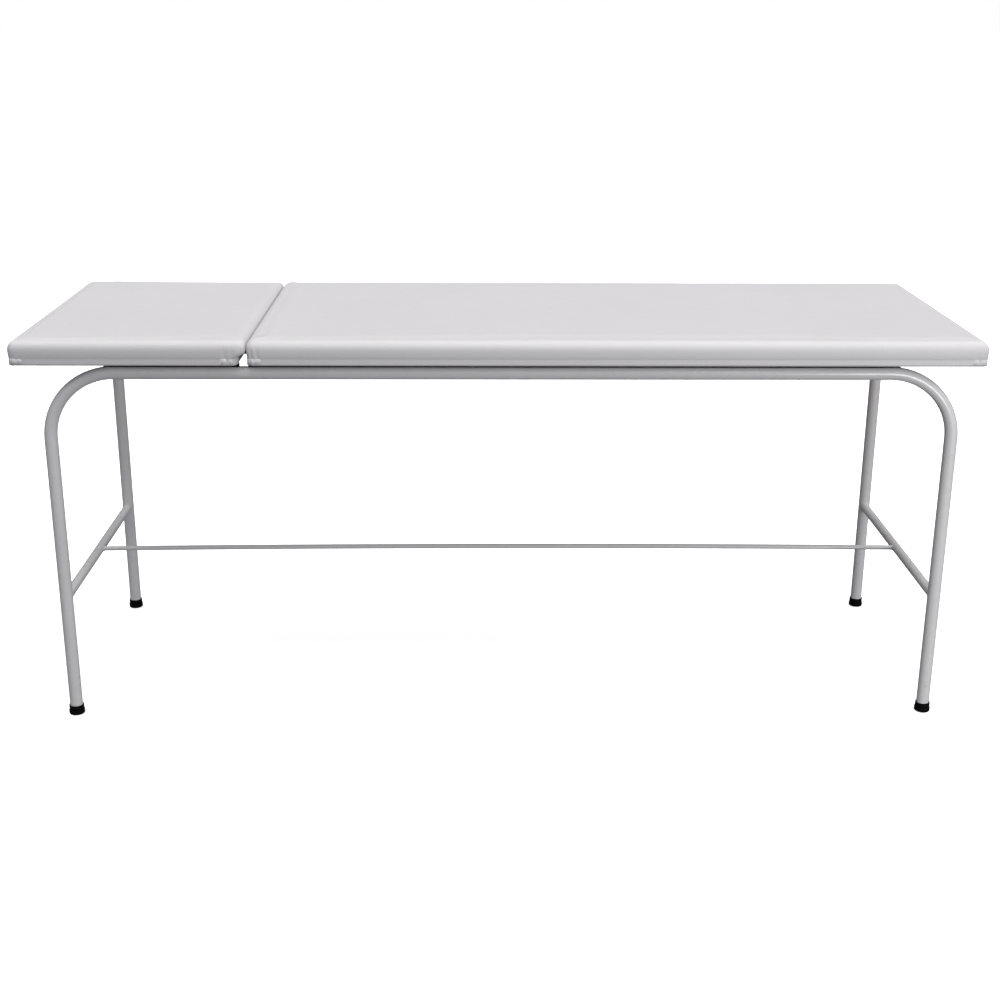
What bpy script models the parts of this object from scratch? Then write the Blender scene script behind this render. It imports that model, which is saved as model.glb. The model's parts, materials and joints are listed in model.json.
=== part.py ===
"""Examination couch: upholstered bed in two sections on a welded tube frame.

The short head section is hinged to the main section and is held up by a
ratchet prop.  Metres, +Z up.  The origin is on the floor under the middle of
the bed, +X points to the foot end and -Y to the front.
"""
from math import cos, pi, radians, sin, sqrt, tan

import bmesh
import bpy
from mathutils import Vector

# --- driving dimensions ------------------------------------------------------
GAP = 0.0003                # between pieces that touch

BED_HALF_LENGTH = 0.925
BED_HALF_WIDTH = 0.313
OUTER_CORNER_R = 0.012
HINGE_CORNER_R = 0.024
HINGE_X = -0.488

FRAME_TUBE_R = 0.0127       # 1 inch tube
FRAME_WALL = 0.0015
BASE_X = 0.006              # the frame stands a little nearer the foot end
LEG_X = 0.871
LEG_Y = 0.2805
RAIL_Z = 0.7156
BEND_R = 0.130

CROSS_TUBE_R = 0.0095       # 3/4 inch tube
CROSS_WALL = 0.0012
STRETCHER_Z = 0.254
LONG_ROD_R = 0.005

FOOT_R = 0.0158
FOOT_HEIGHT = 0.020
FOOT_FLOOR = 0.005
FOOT_CHAMFER = 0.003

STRIP_T = 0.0066
STRIP_OUTER_ANGLE = radians(22)
STRIP_INNER_ANGLE = radians(25)
STRIP_BEND_ANGLE = radians(8)

BOARD_T = 0.012
FOAM_T = 0.0342
VINYL_T = 0.0012
HEM_WIDTH = 0.032
BOARD_GAP_HALF = 0.009      # from the hinge axis to each board's end
PAD_EDGE_R = 0.012

TILT_MAX = radians(45)
RELIEF_ANGLE = TILT_MAX / 2 + radians(0.8)

HINGE_Y = 0.170
LEAF_T = 0.002
LEAF_REACH = 0.030
LEAF_HALF_WIDTH = 0.030
KNUCKLE_R = 0.0045
HINGE_PIN_R = 0.0022
HINGE_SCREW_X = 0.021
HINGE_SCREW_Y = 0.018

PROP_REACH = 0.125          # hinge axis to prop pivot, along the bed
PROP_DROP = 0.013           # pad's underside to prop pivot
PROP_Y = 0.200
ARM_T = 0.005
ARM_HALF_WIDTH = 0.0065
ARM_BOSS_R = 0.0085
PIVOT_PIN_R = 0.003
CROSSBAR_R = 0.005
CROSSBAR_HALF = 0.2666

EAR_T = 0.0025
EAR_HALF_X = 0.011
BRACKET_BASE_T = 0.0025
BRACKET_HALF_X = 0.030
BRACKET_SCREW_X = 0.022

RACK_T = 0.004
RACK_BOTTOM_Z = 0.7035
RACK_CLEARANCE = 0.0009     # tooth tips to the crossbar
TOOTH_DEPTH = 0.004
TOOTH_PITCH = 0.0145
TOOTH_COUNT = 6

TUBE_SIDES = 20
BEND_STEPS = 9
SMALL_SIDES = 12
SCREW_SIDES = 10

# --- levels worked out from them ---------------------------------------------
PAD_BOTTOM = RAIL_Z + FRAME_TUBE_R + GAP + STRIP_T + GAP
BOARD_BOTTOM = PAD_BOTTOM + VINYL_T + GAP
BOARD_TOP = BOARD_BOTTOM + BOARD_T
FOAM_BOTTOM = BOARD_TOP + GAP
FOAM_TOP = FOAM_BOTTOM + FOAM_T
PAD_TOP = FOAM_TOP + GAP + VINYL_T
COVER_GAP_HALF = BOARD_GAP_HALF - VINYL_T - GAP
LEAF_TOP = PAD_BOTTOM - GAP
HINGE_Z = LEAF_TOP - LEAF_T + KNUCKLE_R
PIVOT_X = HINGE_X - PROP_REACH
PIVOT_Z = PAD_BOTTOM - PROP_DROP
ARM_LENGTH = sqrt(PROP_REACH ** 2 + (HINGE_Z - PIVOT_Z) ** 2)
CROSSBAR_X = PIVOT_X - ARM_LENGTH
TOP_MEMBER_Z = PAD_BOTTOM - GAP - CROSS_TUBE_R
TOP_MEMBERS = {"head": -0.550, "hinge": -0.430, "middle": 0.150, "foot": 0.680}
BOARD_SCREW_Y = 0.150
SIDES = (("front", -1), ("rear", 1))
ENDS = (("head", -1), ("foot", 1))

X_AXIS, Y_AXIS, Z_AXIS = Vector((1, 0, 0)), Vector((0, 1, 0)), Vector((0, 0, 1))


# --- scene helpers -------------------------------------------------------------
def clear_scene():
    for old in list(bpy.data.objects):
        bpy.data.objects.remove(old, do_unlink=True)


def make_material(name, color, roughness, metallic=0.0):
    material = bpy.data.materials.new(name)
    material.use_nodes = True
    shader = material.node_tree.nodes["Principled BSDF"]
    shader.inputs["Base Color"].default_value = (*color, 1.0)
    shader.inputs["Roughness"].default_value = roughness
    shader.inputs["Metallic"].default_value = metallic
    return material


def add_axis(name, location, parent=None):
    """An empty on a joint's axis, which the moving pieces are parented to."""
    axis = bpy.data.objects.new(name, None)
    axis.location = location - (parent.location if parent else Vector())
    axis.parent = parent
    bpy.context.collection.objects.link(axis)
    return axis


def add_object(name, bm, material=None, axis=None, smooth=True):
    """Turn world-space geometry into an object whose origin is on its axis."""
    bmesh.ops.recalc_face_normals(bm, faces=bm.faces)
    origin = Vector()
    link = axis
    while link:
        origin += link.location
        link = link.parent
    bmesh.ops.translate(bm, verts=bm.verts, vec=-origin)
    mesh = bpy.data.meshes.new(name)
    bm.to_mesh(mesh)
    bm.free()
    if smooth:
        mesh.shade_smooth()
        mesh.set_sharp_from_angle(angle=radians(35))
    if material:
        mesh.materials.append(material)
    piece = bpy.data.objects.new(name, mesh)
    piece.parent = axis
    bpy.context.collection.objects.link(piece)
    return piece


def boolean(piece, shapes, operation="DIFFERENCE"):
    """Cut or join each shape through a hidden helper object."""
    for number, shape in enumerate(shapes):
        helper = add_object(f"{piece.name}_{operation.lower()}_{number}", shape)
        helper.hide_render = True
        helper.display_type = "WIRE"
        modifier = piece.modifiers.new(helper.name, "BOOLEAN")
        modifier.operation = operation
        modifier.solver = "EXACT"
        modifier.object = helper


# --- shapes ----------------------------------------------------------------------
def loft(rings):
    """Closed body through rings of points, with the first and last capped."""
    bm = bmesh.new()
    loops = [[bm.verts.new(point) for point in ring] for ring in rings]
    count = len(loops[0])
    for lower, upper in zip(loops, loops[1:]):
        for i in range(count):
            j = (i + 1) % count
            bm.faces.new((lower[i], lower[j], upper[j], upper[i]))
    bm.faces.new(loops[0])
    bm.faces.new(loops[-1])
    return bm


def sweep(stations, profile):
    """Sweep a closed (along normal, along Y) profile through (point, normal) stations."""
    return loft([[point + normal * u + Y_AXIS * v for u, v in profile] for point, normal in stations])


def circle_points(radius, sides, phase=0.0):
    turn = 2 * pi / sides
    return [(radius * cos(phase + turn * i), radius * sin(phase + turn * i)) for i in range(sides)]


def perpendicular_axes(direction):
    side = Y_AXIS if abs(direction.y) < 0.9 else X_AXIS
    first = direction.cross(side).normalized()
    return first, direction.cross(first).normalized()


def disc_ring(centre, direction, radius, sides):
    first, second = perpendicular_axes(direction)
    return [centre + first * u + second * v for u, v in circle_points(radius, sides)]


def turned(start, direction, profile, sides=SMALL_SIDES):
    """Solid of revolution from (distance along the axis, radius) pairs."""
    rings = [disc_ring(start + direction * along, direction, radius, sides) for along, radius in profile]
    return loft(rings)


def rod(start, end, radius, sides=SMALL_SIDES):
    direction = (end - start).normalized()
    return turned(start, direction, [(0, radius), ((end - start).length, radius)], sides)


def rod_along_y(x, z, y_from, y_to, radius, sides=SMALL_SIDES):
    return rod(Vector((x, y_from, z)), Vector((x, y_to, z)), radius, sides)


def hollow_rod(start, end, radius, wall, sides=TUBE_SIDES):
    """Straight open-ended tube as one ring-shaped body."""
    direction = (end - start).normalized()
    corners = [(start, radius), (end, radius), (end, radius - wall), (start, radius - wall)]
    bm = bmesh.new()
    loops = [[bm.verts.new(p) for p in disc_ring(c, direction, r, sides)] for c, r in corners]
    for lower, upper in zip(loops, loops[1:] + loops[:1]):
        for i in range(sides):
            j = (i + 1) % sides
            bm.faces.new((lower[i], lower[j], upper[j], upper[i]))
    return bm


def box(low, high):
    bm = bmesh.new()
    bmesh.ops.create_cube(bm, size=1.0)
    size = Vector(high) - Vector(low)
    bmesh.ops.scale(bm, vec=size, verts=bm.verts)
    bmesh.ops.translate(bm, vec=(Vector(low) + Vector(high)) / 2, verts=bm.verts)
    return bm


def plate(outline, depth):
    """Extrude a closed outline of points by a depth vector."""
    bm = bmesh.new()
    face = bm.faces.new([bm.verts.new(point) for point in outline])
    extruded = bmesh.ops.extrude_face_region(bm, geom=[face])["geom"]
    top = [item for item in extruded if isinstance(item, bmesh.types.BMVert)]
    bmesh.ops.translate(bm, vec=depth, verts=top)
    return bm


# --- frame -------------------------------------------------------------------------
def bend_stations(sign, y, first_angle, last_angle, steps):
    """Stations on the bend at one end, with the angle measured from the rail's top."""
    centre = Vector((BASE_X + sign * (LEG_X - BEND_R), y, RAIL_Z - BEND_R))
    stations = []
    for i in range(steps + 1):
        angle = first_angle + (last_angle - first_angle) * i / steps
        normal = Vector((sign * sin(angle), 0, cos(angle)))
        stations.append((centre + normal * BEND_R, normal))
    return stations


def make_side_frame(name, y, paint):
    """One tube bent twice: leg, rail, leg.  The open tube ends sit in the feet."""
    leg_end = FOOT_FLOOR + GAP
    stations = [(Vector((BASE_X - LEG_X, y, leg_end)), -X_AXIS)]
    stations += bend_stations(-1, y, pi / 2, 0, BEND_STEPS)
    stations += bend_stations(1, y, 0, pi / 2, BEND_STEPS)
    stations.append((Vector((BASE_X + LEG_X, y, leg_end)), X_AXIS))
    bm = bmesh.new()
    skins = []
    for radius in (FRAME_TUBE_R, FRAME_TUBE_R - FRAME_WALL):
        profile = circle_points(radius, TUBE_SIDES)
        rings = [[point + normal * u + Y_AXIS * v for u, v in profile] for point, normal in stations]
        skins.append([[bm.verts.new(point) for point in ring] for ring in rings])
    outer, inner = skins
    loops = outer + inner[::-1]
    for lower, upper in zip(loops, loops[1:] + loops[:1]):
        for i in range(TUBE_SIDES):
            j = (i + 1) % TUBE_SIDES
            bm.faces.new((lower[i], lower[j], upper[j], upper[i]))
    add_object(name, bm, paint)


def cross_tube(x, z, reach):
    return hollow_rod(Vector((x, -reach, z)), Vector((x, reach, z)), CROSS_TUBE_R, CROSS_WALL)


def make_low_stretchers(paint):
    """Tubes between front and back legs, coped to them, and the thin bar between those tubes."""
    reach = LEG_Y - FRAME_TUBE_R * 0.6
    for end, sign in ENDS:
        x = BASE_X + sign * LEG_X
        stretcher = add_object(f"cross_stretcher_{end}", cross_tube(x, STRETCHER_Z, reach), paint)
        legs = []
        for _, side in SIDES:
            middle = Vector((x, side * LEG_Y, STRETCHER_Z))
            legs.append(rod(middle - Z_AXIS * 0.03, middle + Z_AXIS * 0.03, FRAME_TUBE_R + GAP, TUBE_SIDES))
        boolean(stretcher, legs)
    reach = LEG_X - CROSS_TUBE_R * 0.6
    bar = rod(Vector((BASE_X - reach, 0, STRETCHER_Z)), Vector((BASE_X + reach, 0, STRETCHER_Z)), LONG_ROD_R)
    stretcher = add_object("long_stretcher", bar, paint)
    tubes = []
    for _, sign in ENDS:
        middle = Vector((BASE_X + sign * LEG_X, 0, STRETCHER_Z))
        tubes.append(rod(middle - Y_AXIS * 0.02, middle + Y_AXIS * 0.02, CROSS_TUBE_R + GAP, TUBE_SIDES))
    boolean(stretcher, tubes)


def make_top_members(paint):
    """Tubes between the rails, just under the boards; three are drilled for the board's screws."""
    reach = LEG_Y - (FRAME_TUBE_R + STRIP_T) * sin(STRIP_INNER_ANGLE) - 0.001
    for place, x in TOP_MEMBERS.items():
        member = add_object(f"top_member_{place}", cross_tube(x, TOP_MEMBER_Z, reach), paint)
        cuts = []
        for _, side in SIDES:
            rail = Vector((x, side * LEG_Y, RAIL_Z))
            cuts.append(rod(rail - X_AXIS * 0.03, rail + X_AXIS * 0.03, FRAME_TUBE_R + GAP, TUBE_SIDES))
        if place != "head":
            cuts += [board_screw_hole(x, side) for _, side in SIDES]
        boolean(member, cuts)


def make_feet(rubber):
    """Rubber cups pushed over the leg ends."""
    inner = FRAME_TUBE_R + GAP
    for side, y_sign in SIDES:
        for end, x_sign in ENDS:
            centre = Vector((BASE_X + x_sign * LEG_X, y_sign * LEG_Y, 0))
            profile = [(0, FOOT_R - FOOT_CHAMFER), (FOOT_CHAMFER, FOOT_R), (FOOT_HEIGHT, FOOT_R - 0.0006),
                       (FOOT_HEIGHT, inner), (FOOT_FLOOR, inner)]
            add_object(f"rubber_foot_{side}_{end}", turned(centre, Z_AXIS, profile, TUBE_SIDES), rubber)


def make_seat_strips(rubber):
    """Black rubber strips on the rails' tops, one under each side of each bed section."""
    low, high = FRAME_TUBE_R + GAP, FRAME_TUBE_R + GAP + STRIP_T
    steps = 8
    step = (STRIP_INNER_ANGLE + STRIP_OUTER_ANGLE) / steps
    arc = [i * step - STRIP_INNER_ANGLE for i in range(steps + 1)]
    for side, y_sign in SIDES:
        profile = [(high * cos(a), y_sign * high * sin(a)) for a in arc]
        profile += [(low * cos(a), y_sign * low * sin(a)) for a in reversed(arc)]
        for section, x_sign in (("head", -1), ("main", 1)):
            start = Vector((HINGE_X + x_sign * BOARD_GAP_HALF, y_sign * LEG_Y, RAIL_Z))
            stations = [(start, Z_AXIS)]
            stations += bend_stations(x_sign, y_sign * LEG_Y, 0, STRIP_BEND_ANGLE, 3)
            add_object(f"seat_strip_{section}_{side}", sweep(stations, profile), rubber)


# --- bed sections --------------------------------------------------------------------
def section_outline(x_low, x_high, half_width, corners, z, inset=0.0):
    """Rectangle with its own corner radius at each end, as a ring of points at one height."""
    steps = 4
    x_low, x_high, half_width = x_low + inset, x_high - inset, half_width - inset
    points = []
    for x_sign, y_sign, first in ((1, 1, 0), (-1, 1, 1), (-1, -1, 2), (1, -1, 3)):
        corner = max(corners[x_sign > 0] - inset, 0.002)
        x = (x_high - corner) if x_sign > 0 else (x_low + corner)
        y = y_sign * (half_width - corner)
        for i in range(steps + 1):
            angle = (first + i / steps) * pi / 2
            points.append(Vector((x + corner * cos(angle), y + corner * sin(angle), z)))
    return points


def section_corners(section, shrink=0.0):
    """Corner radii at the low and high x end of a bed section."""
    outer, hinge = OUTER_CORNER_R - shrink, HINGE_CORNER_R - shrink
    return (outer, hinge) if section == "head" else (hinge, outer)


def ends_at(section, z, shrink=0.0):
    """Low and high x of a bed section at one height, leaving room for the tilt at the hinge."""
    setback = max(COVER_GAP_HALF, (z - HINGE_Z) * tan(RELIEF_ANGLE) + GAP)
    if section == "head":
        return -BED_HALF_LENGTH + shrink, HINGE_X - setback - shrink
    return HINGE_X + setback + shrink, BED_HALF_LENGTH - shrink


def pad_rings(section, bottom, top, shrink):
    """Rings of an upholstered block: upright sides, relieved hinge end, rounded top edge."""
    half_width = BED_HALF_WIDTH - shrink
    corners = section_corners(section, shrink)
    edge = PAD_EDGE_R - shrink
    relief_start = HINGE_Z + (COVER_GAP_HALF - GAP) / tan(RELIEF_ANGLE)
    levels = [(bottom, 0.0), (relief_start, 0.0)]
    for angle in (0, 30, 60, 90):
        turn = radians(angle)
        levels.append((top - edge + edge * sin(turn), edge * (1 - cos(turn))))
    rings = []
    for z, inset in levels:
        x_low, x_high = ends_at(section, z, shrink)
        rings.append(section_outline(x_low, x_high, half_width, corners, z, inset))
    return rings


def make_board(section, wood, axis):
    shrink = VINYL_T + GAP
    x_low, x_high = ends_at(section, BOARD_BOTTOM, shrink)
    rings = [section_outline(x_low, x_high, BED_HALF_WIDTH - shrink, section_corners(section, shrink), z)
             for z in (BOARD_BOTTOM, BOARD_TOP)]
    board = add_object(f"{section}_board", loft(rings), wood, axis)
    cuts = [hinge_screw_hole(section, hinge, row) for hinge in (-1, 1) for row in (-1, 1)]
    if section == "main":
        cuts += [board_screw_hole(x, side) for place, x in TOP_MEMBERS.items() if place != "head"
                 for _, side in SIDES]
    else:
        cuts += [bracket_screw_hole(side, row) for _, side in SIDES for row in (-1, 1)]
    boolean(board, cuts)


def make_foam(section, foam, axis):
    rings = pad_rings(section, FOAM_BOTTOM, FOAM_TOP, VINYL_T + GAP)
    add_object(f"{section}_foam", loft(rings), foam, axis)


def make_cover(section, vinyl, axis):
    """Vinyl skin over top and sides, turned in under the board as a hem; open below."""
    outer = pad_rings(section, PAD_BOTTOM, PAD_TOP, 0.0)
    cavity = pad_rings(section, BOARD_BOTTOM - GAP, FOAM_TOP + GAP, VINYL_T)
    x_low, x_high = ends_at(section, PAD_BOTTOM, 0.0)
    opening = [section_outline(x_low, x_high, BED_HALF_WIDTH, section_corners(section), z, HEM_WIDTH)
               for z in (PAD_BOTTOM, PAD_BOTTOM + VINYL_T)]
    rings = outer[::-1] + opening + cavity
    cover = add_object(f"{section}_cover", loft(rings), vinyl, axis)
    boolean(cover, [hinge_screw_hole(section, hinge, row) for hinge in (-1, 1) for row in (-1, 1)])


# --- fasteners -------------------------------------------------------------------------
def screw(seat, length, shank_r, head_r):
    """Pan-head screw pointing up, with its head's seat at the given point."""
    profile = [(-head_r * 0.6, head_r * 0.6), (0, head_r), (0, shank_r), (length, shank_r * 0.4)]
    return turned(seat, Z_AXIS, profile, SCREW_SIDES)


def hole_for(seat, length, shank_r):
    return rod(seat - Z_AXIS * 0.004, seat + Z_AXIS * (length + GAP), shank_r + GAP, SCREW_SIDES)


HINGE_SCREW = (0.0105, 0.0016)
BRACKET_SCREW = (0.0100, 0.0016)
BOARD_SCREW = (0.0290, 0.0020)


def hinge_screw_seat(section, hinge, row):
    x = HINGE_X + (-HINGE_SCREW_X if section == "head" else HINGE_SCREW_X)
    return Vector((x, hinge * HINGE_Y + row * HINGE_SCREW_Y, LEAF_TOP - LEAF_T - GAP))


def hinge_screw_hole(section, hinge, row):
    return hole_for(hinge_screw_seat(section, hinge, row), *HINGE_SCREW)


def bracket_screw_seat(side, row):
    base_bottom = BOARD_BOTTOM - GAP - BRACKET_BASE_T
    return Vector((PIVOT_X + row * BRACKET_SCREW_X, side * PROP_Y, base_bottom - GAP))


def bracket_screw_hole(side, row):
    return hole_for(bracket_screw_seat(side, row), *BRACKET_SCREW)


def board_screw_seat(x, side):
    return Vector((x, side * BOARD_SCREW_Y, TOP_MEMBER_Z - CROSS_TUBE_R - GAP))


def board_screw_hole(x, side):
    return hole_for(board_screw_seat(x, side), *BOARD_SCREW)


# --- hinges ------------------------------------------------------------------------------
def make_leaf(name, section, hinge, steel, axis):
    """Leaf with its knuckles: the outer two on the fixed leaf, the middle one on the moving leaf."""
    sign = -1 if section == "head" else 1
    middle = hinge * HINGE_Y
    low_y, high_y = middle - LEAF_HALF_WIDTH, middle + LEAF_HALF_WIDTH
    sixth = LEAF_HALF_WIDTH / 3
    if section == "head":
        spans = [(middle - sixth + GAP, middle + sixth - GAP)]
    else:
        spans = [(low_y, middle - sixth), (middle + sixth, high_y)]
    near, far = HINGE_X + sign * (KNUCKLE_R + 0.0012), HINGE_X + sign * LEAF_REACH
    low = (min(near, far), low_y, LEAF_TOP - LEAF_T)
    high = (max(near, far), high_y, LEAF_TOP)
    leaf = add_object(name, box(low, high), steel, axis)
    reach = KNUCKLE_R + 0.002
    tongue = [(0, -KNUCKLE_R), (reach, -KNUCKLE_R), (reach, LEAF_T - KNUCKLE_R), (0, LEAF_T - KNUCKLE_R)]
    knuckles = []
    for start, end in spans:
        outline = [Vector((HINGE_X + sign * u, start, HINGE_Z + v)) for u, v in tongue]
        knuckles.append(plate(outline, Y_AXIS * (end - start)))
        knuckles.append(rod_along_y(HINGE_X, HINGE_Z, start, end, KNUCKLE_R, 16))
    boolean(leaf, knuckles, "UNION")
    bore = rod_along_y(HINGE_X, HINGE_Z, low_y - 0.01, high_y + 0.01, HINGE_PIN_R + GAP)
    boolean(leaf, [bore] + [hinge_screw_hole(section, hinge, row) for row in (-1, 1)])


def make_hinges(steel, head_axis):
    for side, sign in SIDES:
        make_leaf(f"hinge_leaf_fixed_{side}", "main", sign, steel, None)
        make_leaf(f"hinge_leaf_moving_{side}", "head", sign, steel, head_axis)
        half = LEAF_HALF_WIDTH
        head_t = 0.0012
        start = Vector((HINGE_X, sign * HINGE_Y - half - head_t - GAP, HINGE_Z))
        profile = [(0, KNUCKLE_R * 0.8), (head_t, KNUCKLE_R * 0.8), (head_t, HINGE_PIN_R),
                   (head_t + 2 * half + 2 * GAP, HINGE_PIN_R)]
        add_object(f"hinge_pin_{side}", turned(start, Y_AXIS, profile), steel)
        for section, axis in (("main", None), ("head", head_axis)):
            for row, end in ((-1, "a"), (1, "b")):
                length, radius = HINGE_SCREW
                shape = screw(hinge_screw_seat(section, sign, row), length, radius, 0.0034)
                add_object(f"hinge_screw_{section}_{side}_{end}", shape, steel, axis)


# --- ratchet prop ----------------------------------------------------------------------------
def link_outline(x_from, x_to, y, z, radius, steps=7):
    """Link outline in the XZ plane: two round ends joined by straight sides."""
    points = []
    for centre, first in ((x_to, pi / 2), (x_from, -pi / 2)):
        for i in range(steps + 1):
            angle = first + pi * i / steps
            points.append(Vector((centre + radius * cos(angle), y, z + radius * sin(angle))))
    return points


def make_prop(steel, paint, prop_axis):
    for side, sign in SIDES:
        y = sign * PROP_Y - ARM_T / 2
        outline = link_outline(PIVOT_X, CROSSBAR_X, y, PIVOT_Z, ARM_HALF_WIDTH)
        arm = add_object(f"prop_arm_{side}", plate(outline, Y_AXIS * ARM_T), paint, prop_axis)
        boolean(arm, [rod_along_y(CROSSBAR_X, PIVOT_Z, y, y + ARM_T, ARM_BOSS_R, TUBE_SIDES)], "UNION")
        bores = [rod_along_y(x, PIVOT_Z, y - 0.01, y + ARM_T + 0.01, radius + GAP)
                 for x, radius in ((PIVOT_X, PIVOT_PIN_R), (CROSSBAR_X, CROSSBAR_R))]
        boolean(arm, bores)
    bar = rod_along_y(CROSSBAR_X, PIVOT_Z, -CROSSBAR_HALF, CROSSBAR_HALF, CROSSBAR_R)
    add_object("prop_crossbar", bar, steel, prop_axis)


def make_brackets(steel, paint, head_axis):
    """Clevis brackets under the head board, with the pins that the prop arms turn on."""
    base_top = BOARD_BOTTOM - GAP
    base_bottom = base_top - BRACKET_BASE_T
    inside = ARM_T / 2 + 0.0006
    outside = inside + EAR_T
    for side, sign in SIDES:
        y = sign * PROP_Y
        low = (PIVOT_X - BRACKET_HALF_X, y - outside, base_bottom)
        high = (PIVOT_X + BRACKET_HALF_X, y + outside, base_top)
        bracket = add_object(f"prop_bracket_{side}", box(low, high), paint, head_axis)
        ears = []
        for ear in (-1, 1):
            start = y + (inside if ear > 0 else -outside)
            outline = [Vector((PIVOT_X + EAR_HALF_X * u, start, z)) for u, z in
                       ((-1, base_top - 0.001), (-1, base_bottom - 0.004), (-0.6, PIVOT_Z - 0.0065),
                        (0.6, PIVOT_Z - 0.0065), (1, base_bottom - 0.004), (1, base_top - 0.001))]
            ears.append(plate(outline, Y_AXIS * EAR_T))
        boolean(bracket, ears, "UNION")
        bore = rod_along_y(PIVOT_X, PIVOT_Z, y - 0.02, y + 0.02, PIVOT_PIN_R + GAP)
        boolean(bracket, [bore] + [bracket_screw_hole(sign, row) for row in (-1, 1)])
        head_t = 0.0015
        start = Vector((PIVOT_X, y - outside - head_t - GAP, PIVOT_Z))
        span = 2 * (outside + GAP)
        profile = [(0, PIVOT_PIN_R * 1.6), (head_t, PIVOT_PIN_R * 1.6), (head_t, PIVOT_PIN_R),
                   (head_t + span, PIVOT_PIN_R), (head_t + span, PIVOT_PIN_R * 1.4),
                   (head_t * 2 + span, PIVOT_PIN_R * 1.4)]
        add_object(f"prop_pin_{side}", turned(start, Y_AXIS, profile), steel, head_axis)
        for row, end in ((-1, "a"), (1, "b")):
            length, radius = BRACKET_SCREW
            shape = screw(bracket_screw_seat(sign, row), length, radius, 0.0030)
            add_object(f"bracket_screw_{side}_{end}", shape, steel, head_axis)


def make_racks(paint):
    """Toothed flats welded to the rails' inner sides, steep faces towards the hinge."""
    tip_z = PIVOT_Z - CROSSBAR_R - RACK_CLEARANCE
    start = CROSSBAR_X - CROSSBAR_R - 0.003
    for side, sign in SIDES:
        y = sign * (LEG_Y - FRAME_TUBE_R - GAP - (RACK_T if sign > 0 else 0))
        outline = [Vector((start, y, RACK_BOTTOM_Z)), Vector((start, y, tip_z))]
        for tooth in range(TOOTH_COUNT):
            x = start + 0.004 + tooth * TOOTH_PITCH
            outline.append(Vector((x, y, tip_z)))
            outline.append(Vector((x, y, tip_z - TOOTH_DEPTH)))
            outline.append(Vector((x + TOOTH_PITCH * 0.55, y, tip_z - TOOTH_DEPTH)))
            outline.append(Vector((x + TOOTH_PITCH * 0.85, y, tip_z)))
        end = start + 0.004 + TOOTH_COUNT * TOOTH_PITCH + 0.004
        outline += [Vector((end, y, tip_z)), Vector((end, y, RACK_BOTTOM_Z))]
        add_object(f"ratchet_rack_{side}", plate(outline, Y_AXIS * RACK_T), paint, smooth=False)


def make_board_screws(steel):
    for place, x in TOP_MEMBERS.items():
        if place == "head":
            continue
        for side, sign in SIDES:
            length, radius = BOARD_SCREW
            shape = screw(board_screw_seat(x, sign), length, radius, 0.0042)
            add_object(f"board_screw_{place}_{side}", shape, steel)


def build():
    clear_scene()
    paint = make_material("white_enamel", (0.80, 0.80, 0.80), 0.30)
    vinyl = make_material("white_vinyl", (0.78, 0.78, 0.80), 0.50)
    rubber = make_material("black_rubber", (0.02, 0.02, 0.02), 0.75)
    wood = make_material("plywood", (0.62, 0.47, 0.30), 0.80)
    foam = make_material("foam", (0.85, 0.80, 0.62), 0.95)
    steel = make_material("zinc_steel", (0.62, 0.62, 0.64), 0.35, 1.0)

    head_axis = add_axis("head_tilt_axis", Vector((HINGE_X, 0, HINGE_Z)))
    prop_axis = add_axis("prop_swing_axis", Vector((PIVOT_X, 0, PIVOT_Z)), head_axis)

    for side, sign in SIDES:
        make_side_frame(f"side_frame_{side}", sign * LEG_Y, paint)
    make_low_stretchers(paint)
    make_top_members(paint)
    make_feet(rubber)
    make_seat_strips(rubber)
    for section, axis in (("main", None), ("head", head_axis)):
        make_board(section, wood, axis)
        make_foam(section, foam, axis)
        make_cover(section, vinyl, axis)
    make_hinges(steel, head_axis)
    make_prop(steel, paint, prop_axis)
    make_brackets(steel, paint, head_axis)
    make_racks(paint)
    make_board_screws(steel)


build()
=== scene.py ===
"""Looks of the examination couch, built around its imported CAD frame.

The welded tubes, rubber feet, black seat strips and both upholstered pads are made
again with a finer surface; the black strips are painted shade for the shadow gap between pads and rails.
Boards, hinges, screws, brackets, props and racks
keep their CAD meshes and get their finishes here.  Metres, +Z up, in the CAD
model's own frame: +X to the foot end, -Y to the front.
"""
import json
from math import cos, pi, radians, sin, sqrt, tau

import bmesh
import bpy
import numpy as np
from mathutils import Matrix, Vector, noise


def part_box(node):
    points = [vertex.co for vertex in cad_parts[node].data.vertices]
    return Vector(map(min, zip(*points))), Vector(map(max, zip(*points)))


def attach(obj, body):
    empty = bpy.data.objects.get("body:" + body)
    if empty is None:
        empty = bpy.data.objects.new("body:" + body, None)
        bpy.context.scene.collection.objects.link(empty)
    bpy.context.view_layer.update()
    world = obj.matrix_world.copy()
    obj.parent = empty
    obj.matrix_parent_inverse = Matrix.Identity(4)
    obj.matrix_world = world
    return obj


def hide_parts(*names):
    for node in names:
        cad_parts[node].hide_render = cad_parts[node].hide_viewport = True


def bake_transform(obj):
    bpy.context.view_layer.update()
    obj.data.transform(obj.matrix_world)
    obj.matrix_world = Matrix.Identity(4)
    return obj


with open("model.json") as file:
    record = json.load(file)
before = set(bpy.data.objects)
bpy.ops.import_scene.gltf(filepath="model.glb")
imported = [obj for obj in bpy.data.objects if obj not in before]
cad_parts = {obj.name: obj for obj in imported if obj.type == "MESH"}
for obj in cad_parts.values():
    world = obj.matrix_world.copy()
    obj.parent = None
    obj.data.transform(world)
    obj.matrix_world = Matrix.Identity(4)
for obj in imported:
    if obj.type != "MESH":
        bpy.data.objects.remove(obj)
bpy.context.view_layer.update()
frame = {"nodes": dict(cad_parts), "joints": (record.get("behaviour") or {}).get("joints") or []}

# --- camera and light ----------------------------------------------------------
CAMERA_AT = Vector((-0.0536, -3.0264, 1.3906))
CAMERA_PITCH = 0.3268       # radians below the horizon
CAMERA_YAW = -0.0195
CAMERA_ROLL = -0.0057
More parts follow.
